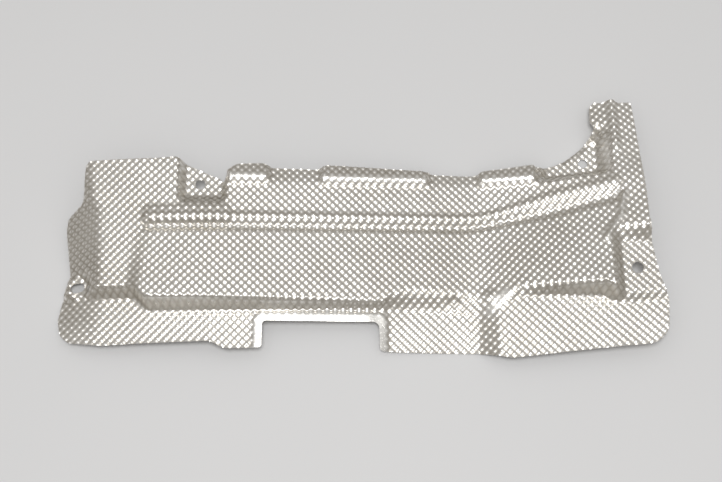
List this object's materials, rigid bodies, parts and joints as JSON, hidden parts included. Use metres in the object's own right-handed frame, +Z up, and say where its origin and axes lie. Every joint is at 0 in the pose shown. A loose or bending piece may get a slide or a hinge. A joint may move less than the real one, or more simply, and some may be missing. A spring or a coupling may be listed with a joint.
{
  "type": "heat shield",
  "caption": "Long heat shield pressed from one thin dimpled aluminium sheet, with a bead, stiffening humps along one edge, a notch, an upright end tab and fastening holes.",
  "frame": {"origin": "centre of the bounding box at its lowest height, on the surface the sheet lies on", "axes": "+X along the length towards the end with the upper tab, +Y across the width from the notched edge to the upper tab, +Z up, away from the surface"},
  "size_m": [0.42, 0.192, 0.0274],
  "materials": {
    "sheet": "dimpled mill finish, lightly handled"
  },
  "bodies": {
    "root": {"heat_shield": "sheet"}
  },
  "joints": []
}
